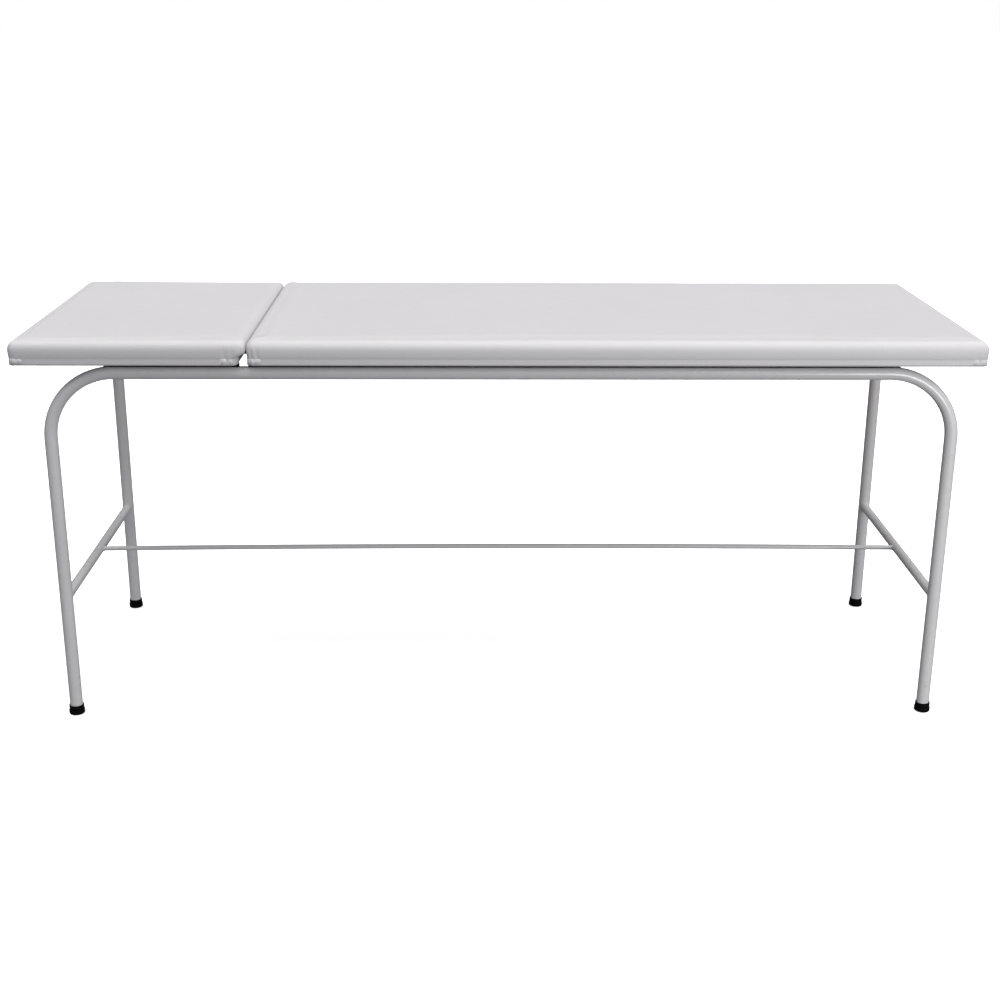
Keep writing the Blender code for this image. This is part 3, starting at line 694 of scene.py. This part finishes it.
def build_pad_mesh(name, low, high, lean):
    """Closed form of one pad.  Returns the mesh and which vertices are held by the board."""
    radii = (OUTER_CORNER_R, HINGE_CORNER_R) if lean[0] == "high" else (HINGE_CORNER_R, OUTER_CORNER_R)
    form = PadForm(low, high, radii, PAD_EDGE_R - PAD_PROUD)
    nx, ny = form.shape
    top = np.dstack((form.grid, np.full(form.shape, PAD_TOP - PAD_START_DROP))).reshape(-1, 3)
    roof = np.dstack((form.grid, np.full(form.shape, BOARD_TOP + GAP))).reshape(-1, 3)
    profile = pad_profile()
    count = len(form.loop)
    rings = [np.column_stack((form.outline(inset), np.full(count, z))) for inset, z, _ in profile]
    vertices = np.vstack([top, *rings, roof])

    def grid_faces(start, flip):
        faces = []
        for i in range(nx - 1):
            for j in range(ny - 1):
                a, b = start + i * ny + j, start + (i + 1) * ny + j
                faces.append((a, b, b + 1, a + 1) if not flip else (a, a + 1, b + 1, b))
        return faces

    def loop_faces(first, second):
        return [(first[i], second[i], second[(i + 1) % count], first[(i + 1) % count]) for i in range(count)]

    loops = [[i * ny + j for i, j in form.loop]]
    loops += [list(range(nx * ny + k * count, nx * ny + (k + 1) * count)) for k in range(len(rings))]
    roof_start = nx * ny + len(rings) * count
    loops.append([roof_start + i * ny + j for i, j in form.loop])
    faces = grid_faces(0, False) + grid_faces(roof_start, True)
    for first, second in zip(loops, loops[1:]):
        faces += loop_faces(first, second)

    held = np.zeros(len(vertices))
    for k, (_, _, part) in enumerate(profile):
        held[nx * ny + k * count:nx * ny + (k + 1) * count] = 0.0 if part == "foam" else 1.0
    held[roof_start:] = 1.0

    rise = smooth_step((vertices[:, 2] - BOARD_TOP) / LEAN_RISE)
    hinge_end = high[0] if lean[0] == "high" else low[0]
    near = smooth_step(1 - np.abs(vertices[:, 0] - hinge_end) / LEAN_LENGTH)
    vertices[:, 0] += lean[1] * rise * near
    vertices[held > 0.5, 0] -= (lean[1] * rise * near)[held > 0.5]

    mesh = mesh_from(name, vertices, faces)
    crease = mesh.attributes.new("crease_edge", "FLOAT", "EDGE")
    pocket_rings = [k for k, (_, _, part) in enumerate(profile) if part == "pocket"]
    pocket_rings.append(pocket_rings[0] - 1)
    sharp = set()
    for k in pocket_rings:
        sharp.update(range(nx * ny + k * count, nx * ny + (k + 1) * count))
    sharp_level = {v: (v - nx * ny) // count for v in sharp}
    values = [1.0 if all(v in sharp for v in e.vertices) and
              sharp_level[e.vertices[0]] == sharp_level[e.vertices[1]] else 0.0 for e in mesh.edges]
    crease.data.foreach_set("value", values)
    return mesh, held


def swell(piece, held):
    """Blow the vinyl out over its foam with cloth pressure, held along the board, and cap the movement."""
    mesh = piece.data
    rest, normals = read_vertices(mesh), read_vertices(mesh, "normal")
    group = piece.vertex_groups.new(name="held")
    group.add([int(i) for i in np.nonzero(held == 1.0)[0]], 1.0, "REPLACE")
    cloth = piece.modifiers.new("cloth", "CLOTH")
    settings = cloth.settings
    settings.quality = 5
    settings.mass = 0.3
    settings.tension_stiffness = 12
    settings.compression_stiffness = 12
    settings.shear_stiffness = 6
    settings.bending_stiffness = 0.6
    settings.air_damping = 2.0
    settings.use_pressure = True
    settings.uniform_pressure_force = 4.0
    settings.shrink_min = -0.004
    settings.effector_weights.gravity = 0.0
    settings.vertex_group_mass = group.name
    last_frame = 20
    cloth.point_cache.frame_start = 1
    cloth.point_cache.frame_end = last_frame
    scene = bpy.context.scene
    for number in range(1, last_frame + 1):
        scene.frame_set(number)
    evaluated = piece.evaluated_get(bpy.context.evaluated_depsgraph_get())
    moved = read_vertices(evaluated.to_mesh())
    evaluated.to_mesh_clear()
    piece.modifiers.remove(cloth)
    piece.vertex_groups.remove(group)
    scene.frame_set(1)
    step = moved - rest
    for axes, most in (((2,), TOP_SWELL), ((0, 1), SIDE_SWELL)):
        part = step[:, axes]
        size = np.linalg.norm(part, axis=1)
        outward = (part * normals[:, axes]).sum(axis=1) > 0
        factor = np.where(outward, most * np.tanh(size / most) / np.maximum(size, 1e-9), 0.0)
        step[:, axes] = part * factor[:, None]
    write_vertices(mesh, rest + step)


def subdivide(piece):
    """One level of subdivision, applied."""
    modifier = piece.modifiers.new("finer", "SUBSURF")
    modifier.levels = modifier.render_levels = 1
    evaluated = piece.evaluated_get(bpy.context.evaluated_depsgraph_get())
    mesh = bpy.data.meshes.new_from_object(evaluated)
    piece.modifiers.remove(modifier)
    piece.data = mesh


def corner_distance(points, low, high):
    """Signed distance along the outline from the middle of the nearest corner, and the corner's number."""
    x, y = points[:, 0], points[:, 1]
    right, back = x > (low[0] + high[0]) / 2, y > 0
    from_x = np.where(right, high[0] - x, x - low[0])
    from_y = np.where(back, high[1] - y, y - low[1])
    return from_x - from_y, right.astype(int) + 2 * back.astype(int)


FOLDS = (  # distance from the corner's middle, width and depth of the pleats' lines, in metres
    (0.0225, 0.0027, -0.0010), (0.0100, 0.0026, -0.0009), (-0.0075, 0.0026, -0.0010),
    (-0.0200, 0.0027, -0.0009))


def add_wrinkles(piece, low, high):
    """Pleats gathered at the bottom corners, an uneven crease along the board and a lived-in top."""
    mesh = piece.data
    co, normals = read_vertices(mesh), read_vertices(mesh, "normal")
    outer_low, outer_high = np.array(low[:2]), np.array(high[:2])
    inset = np.minimum(co[:, :2] - outer_low, outer_high - co[:, :2]).min(axis=1)
    on_side = (np.abs(normals[:, 2]) < 0.75) & (inset < 0.012)
    height = (co[:, 2] - PAD_BOTTOM) / (PAD_TOP - PAD_BOTTOM)
    along, corner = corner_distance(co, outer_low, outer_high)
    push = np.zeros(len(co))
    foot = smooth_step((0.62 - height) / 0.45)
    at_hinge = (corner % 2 == 1) if outer_high[0] < 0 else (corner % 2 == 0)
    foot = np.where(at_hinge, 1.7 * smooth_step((0.86 - height) / 0.35), foot)
    for number, (place, width, depth) in enumerate(FOLDS):
        shifted = place + 0.0022 * np.sin(2.4 * corner + number) * (1 - height)
        strength = 0.75 + 0.35 * np.sin(1.7 * corner + 2.3 * number)
        push += depth * strength * foot * np.exp(-((along - shifted) / width) ** 2)
    corner_zone = np.exp(-(along / 0.034) ** 2)
    tuck = np.exp(-((height - 0.24) / 0.07) ** 2) * np.exp(-(along / 0.012) ** 2)
    push -= 0.0005 * tuck
    length = co[:, 0] + 0.7 * co[:, 1]
    wander = (0.0016 * np.sin(23 * length + 1.0) + 0.0011 * np.sin(61 * length)
              + 0.0006 * np.sin(131 * length + 2))
    line = BOARD_TOP + 0.0020 + wander
    below = co[:, 2] < line
    dent = np.exp(-((co[:, 2] - line) / np.where(below, 0.0120, 0.0032)) ** 2)
    depth_wave = 0.55 + 0.45 * np.sin(17 * length + 0.4) * np.sin(41 * length + 1.7)
    push -= 0.00008 * dent * depth_wave * (1 - 0.5 * corner_zone)
    push[~on_side] = 0.0
    on_top = normals[:, 2] > 0.75
    top_push = np.zeros(len(co))
    for i in np.nonzero(on_top & (co[:, 2] > BOARD_TOP + 0.01))[0]:
        p = Vector(co[i])
        top_push[i] = 0.0007 * noise.noise(p * 4.2) + 0.00025 * noise.noise(p * 17.0)
    push += top_push
    normals[on_side, 2] = 0.0
    normals[on_side] /= np.linalg.norm(normals[on_side], axis=1)[:, None]
    co += normals * push[:, None]
    write_vertices(mesh, co)


def press_together(piece, sign):
    """Flatten the pad's end where it leans on the other pad; sign is +1 for the main pad."""
    mesh = piece.data
    co = read_vertices(mesh)
    clearance, softness = 0.0004, 0.0012
    reach = sign * (co[:, 0] - CONTACT_X) - clearance
    pressed = softness * np.logaddexp(0.0, reach / softness)
    near = np.abs(reach) < 0.03
    co[near, 0] = CONTACT_X + sign * (clearance + pressed[near])
    write_vertices(mesh, co)


def make_pad(section, material, other_nodes):
    """One upholstered section: vinyl over foam, wrapped round its board and open below for it."""
    low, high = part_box(f"{section}_cover")
    low_x, high_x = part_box(f"{section}_board")[0].x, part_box(f"{section}_board")[1].x
    margin = VINYL_T + GAP
    low = Vector((low_x - margin, low.y, low.z))
    high = Vector((high_x + margin, high.y, high.z))
    if section == "head":
        lean = ("high", CONTACT_X + PRESS - high.x)
    else:
        lean = ("low", CONTACT_X - PRESS - low.x)
    mesh, held = build_pad_mesh(f"{section}_pad", low, high, lean)
    piece = bpy.data.objects.new(f"{section}_pad", mesh)
    bpy.context.scene.collection.objects.link(piece)
    swell(piece, held)
    subdivide(piece)
    add_wrinkles(piece, low, high)
    press_together(piece, 1 if section == "main" else -1)
    piece.data.shade_smooth()
    piece.data.materials.clear()
    piece.data.materials.append(material)
    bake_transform(piece)
    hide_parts(*other_nodes)
    return piece


def make_staples(section, material):
    """Staples that hold the hem under the board, in a row along the three free sides."""
    low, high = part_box(f"{section}_cover")
    inset, spacing, half, wire = 0.012, 0.036, 0.0052, 0.00035
    x_low, x_high, y_reach = low.x + inset, high.x - inset, high.y - inset
    if section == "head":
        outer_x, stop_x = x_low, HINGE.x - 0.055
    else:
        outer_x, stop_x = x_high, HINGE.x + 0.055
    shape = Shape()

    def staple(x, y, turn):
        along, across = Vector((cos(turn), sin(turn), 0)), Vector((-sin(turn), cos(turn), 0))
        centre = Vector((x, y, PAD_BOTTOM - wire))
        path = [(-half, 0.0009), (-half, 0.0002), (-half + 0.0006, 0.0),
                (half - 0.0006, 0.0), (half, 0.0002), (half, 0.0009)]
        rings = []
        for k, (u, lift) in enumerate(path):
            upright = k in (0, len(path) - 1)
            first = along if upright else Z_AXIS
            rings.append([centre + along * u + Z_AXIS * lift + first * a + across * b
                          for a, b in circle(wire, 6)])
        shape.add_rings(rings)

    count = int(abs(outer_x - stop_x) / spacing)
    for i in range(count + 1):
        x = outer_x + (stop_x - outer_x) * (i + 0.5) / (count + 1)
        for sign in (-1, 1):
            jitter = noise.noise(Vector((x * 31, sign, 0.5)))
            staple(x, sign * (y_reach + 0.0012 * jitter), 0.12 * jitter)
    across_count = int(2 * y_reach / spacing)
    for i in range(1, across_count):
        y = -y_reach + 2 * y_reach * i / across_count
        jitter = noise.noise(Vector((outer_x, y * 31, 0.5)))
        staple(outer_x + 0.0012 * jitter, y, pi / 2 + 0.12 * jitter)
    name = f"staples_{section}"
    body = "head" if section == "head" else "root"
    add_piece(name, shape.mesh(name), body, material, smooth_angle=50)


# --- stage -------------------------------------------------------------------------------------------
def make_camera():
    c, s = cos(CAMERA_YAW), sin(CAMERA_YAW)
    right, ahead = Vector((c, s, 0)), Vector((-s, c, 0))
    forward = ahead * cos(CAMERA_PITCH) - Z_AXIS * sin(CAMERA_PITCH)
    up = ahead * sin(CAMERA_PITCH) + Z_AXIS * cos(CAMERA_PITCH)
    cr, sr = cos(CAMERA_ROLL), sin(CAMERA_ROLL)
    x_axis, y_axis = right * cr - up * sr, right * sr + up * cr
    data = bpy.data.cameras.new("camera")
    data.sensor_width = 36.0
    data.lens = CAMERA_LENS
    data.clip_end = 200.0
    camera = bpy.data.objects.new("camera", data)
    turn = Matrix((x_axis, y_axis, -forward)).transposed().to_4x4()
    camera.matrix_world = Matrix.Translation(CAMERA_AT) @ turn
    bpy.context.scene.collection.objects.link(camera)
    bpy.context.scene.camera = camera


def make_floor():
    """Pale studio floor.  It shows shadows, and leaves the light from below to the sky shader."""
    material = bpy.data.materials.new("studio_floor")
    material.use_nodes = True
    shader = material.node_tree.nodes["Principled BSDF"]
    shader.inputs["Base Color"].default_value = (0.95, 0.95, 0.95, 1.0)
    shader.inputs["Roughness"].default_value = 0.9
    shader.inputs["Specular IOR Level"].default_value = 0.0
    shader.inputs["Emission Color"].default_value = (1.0, 1.0, 1.0, 1.0)
    shader.inputs["Emission Strength"].default_value = FLOOR_GLOW
    bm = bmesh.new()
    bmesh.ops.create_grid(bm, x_segments=8, y_segments=8, size=60.0)
    mesh = bpy.data.meshes.new("studio_floor")
    bm.to_mesh(mesh)
    bm.free()
    mesh.materials.append(material)
    floor = bpy.data.objects.new("studio_floor", mesh)
    floor.location.z = -0.0005
    floor.visible_diffuse = False
    floor.visible_glossy = False
    bpy.context.scene.collection.objects.link(floor)


def aim(obj, target):
    obj.rotation_euler = (target - obj.location).to_track_quat("-Z", "Y").to_euler()


def add_softbox(name, at, target, size, power):
    data = bpy.data.lights.new(name, "AREA")
    data.shape = "DISK"
    data.size = size
    data.energy = power
    light = bpy.data.objects.new(name, data)
    light.location = at
    aim(light, target)
    light.visible_camera = False
    bpy.context.scene.collection.objects.link(light)


def make_lights():
    overhead = bpy.data.lights.new("overhead", "SUN")
    overhead.energy = OVERHEAD_STRENGTH
    overhead.angle = OVERHEAD_ANGLE
    overhead.color = OVERHEAD_COLOR
    lamp = bpy.data.objects.new("overhead", overhead)
    lamp.location = (0.0, -0.5, 4.0)
    aim(lamp, Vector((0.0, 0.0, 0.0)))
    bpy.context.scene.collection.objects.link(lamp)
    add_softbox("key", KEY_AT, KEY_TARGET, KEY_SIZE, KEY_POWER)
    add_softbox("fill", FILL_AT, FILL_TARGET, FILL_SIZE, FILL_POWER)


def make_sky():
    """Even light from all round; straight views of it are white."""
    world = bpy.data.worlds.new("studio_sky")
    world.use_nodes = True
    tree = world.node_tree
    background = tree.nodes["Background"]
    background.inputs["Color"].default_value = (*SKY_COLOR, 1.0)
    where = tree.nodes.new("ShaderNodeTexCoord")
    height = tree.nodes.new("ShaderNodeSeparateXYZ")
    share = tree.nodes.new("ShaderNodeMapRange")
    tree.links.new(where.outputs["Generated"], height.inputs[0])
    tree.links.new(height.outputs["Z"], share.inputs["Value"])
    for socket, value in zip(share.inputs[1:5], (-SKY_EDGE, SKY_EDGE, GROUND_STRENGTH, SKY_STRENGTH)):
        socket.default_value = value
    sideways = tree.nodes.new("ShaderNodeMapRange")
    tree.links.new(height.outputs["X"], sideways.inputs["Value"])
    for socket, value in zip(sideways.inputs[1:5], (-1.0, 1.0, SKY_LEFT, SKY_RIGHT)):
        socket.default_value = value
    strength = tree.nodes.new("ShaderNodeMath")
    strength.operation = "MULTIPLY"
    tree.links.new(share.outputs[0], strength.inputs[0])
    tree.links.new(sideways.outputs[0], strength.inputs[1])
    tree.links.new(strength.outputs[0], background.inputs["Strength"])
    white = tree.nodes.new("ShaderNodeBackground")
    white.inputs["Color"].default_value = (1.0, 1.0, 1.0, 1.0)
    path = tree.nodes.new("ShaderNodeLightPath")
    choose = tree.nodes.new("ShaderNodeMixShader")
    tree.links.new(path.outputs["Is Camera Ray"], choose.inputs[0])
    tree.links.new(background.outputs[0], choose.inputs[1])
    tree.links.new(white.outputs[0], choose.inputs[2])
    tree.links.new(choose.outputs[0], tree.nodes["World Output"].inputs["Surface"])
    scene = bpy.context.scene
    scene.world = world
    scene.view_settings.view_transform = "Standard"


def finish_cad_nodes(finishes):
    """Give each CAD node that stays on show its finish."""
    for name, node in frame["nodes"].items():
        if node.hide_render:
            continue
        for prefix, material, slot in finishes:
            if name.startswith(prefix):
                if not node.material_slots:
                    node.data.materials.append(material)
                for material_slot in node.material_slots:
                    material_slot.material = material
                break


make_camera()
make_floor()
make_lights()
make_sky()

enamel, weld, vinyl, rubber = enamel_finish(), weld_finish(), vinyl_finish(), rubber_finish()
plywood, zinc, flats = plywood_finish(), zinc_finish(), painted_steel_finish()

make_side_frames(enamel)
make_cross_tubes(enamel, weld)
make_feet(rubber)
# black strips on the rails: painted shade for the shadow gap under the pads
make_painted_gap_strips(rubber)
make_pad("main", vinyl, ("main_cover", "main_foam"))
make_pad("head", vinyl, ("head_cover", "head_foam"))
make_staples("main", zinc)
make_staples("head", zinc)
finish_cad_nodes((
    ("main_board", plywood, "plywood"), ("head_board", plywood, "plywood"),
    ("prop_arm", flats, "enamel"), ("prop_bracket", flats, "enamel"), ("ratchet_rack", flats, "enamel"),
    ("prop_", zinc, "zinc_steel"), ("hinge_", zinc, "zinc_steel"), ("board_screw", zinc, "zinc_steel"),
    ("bracket_screw", zinc, "zinc_steel")))
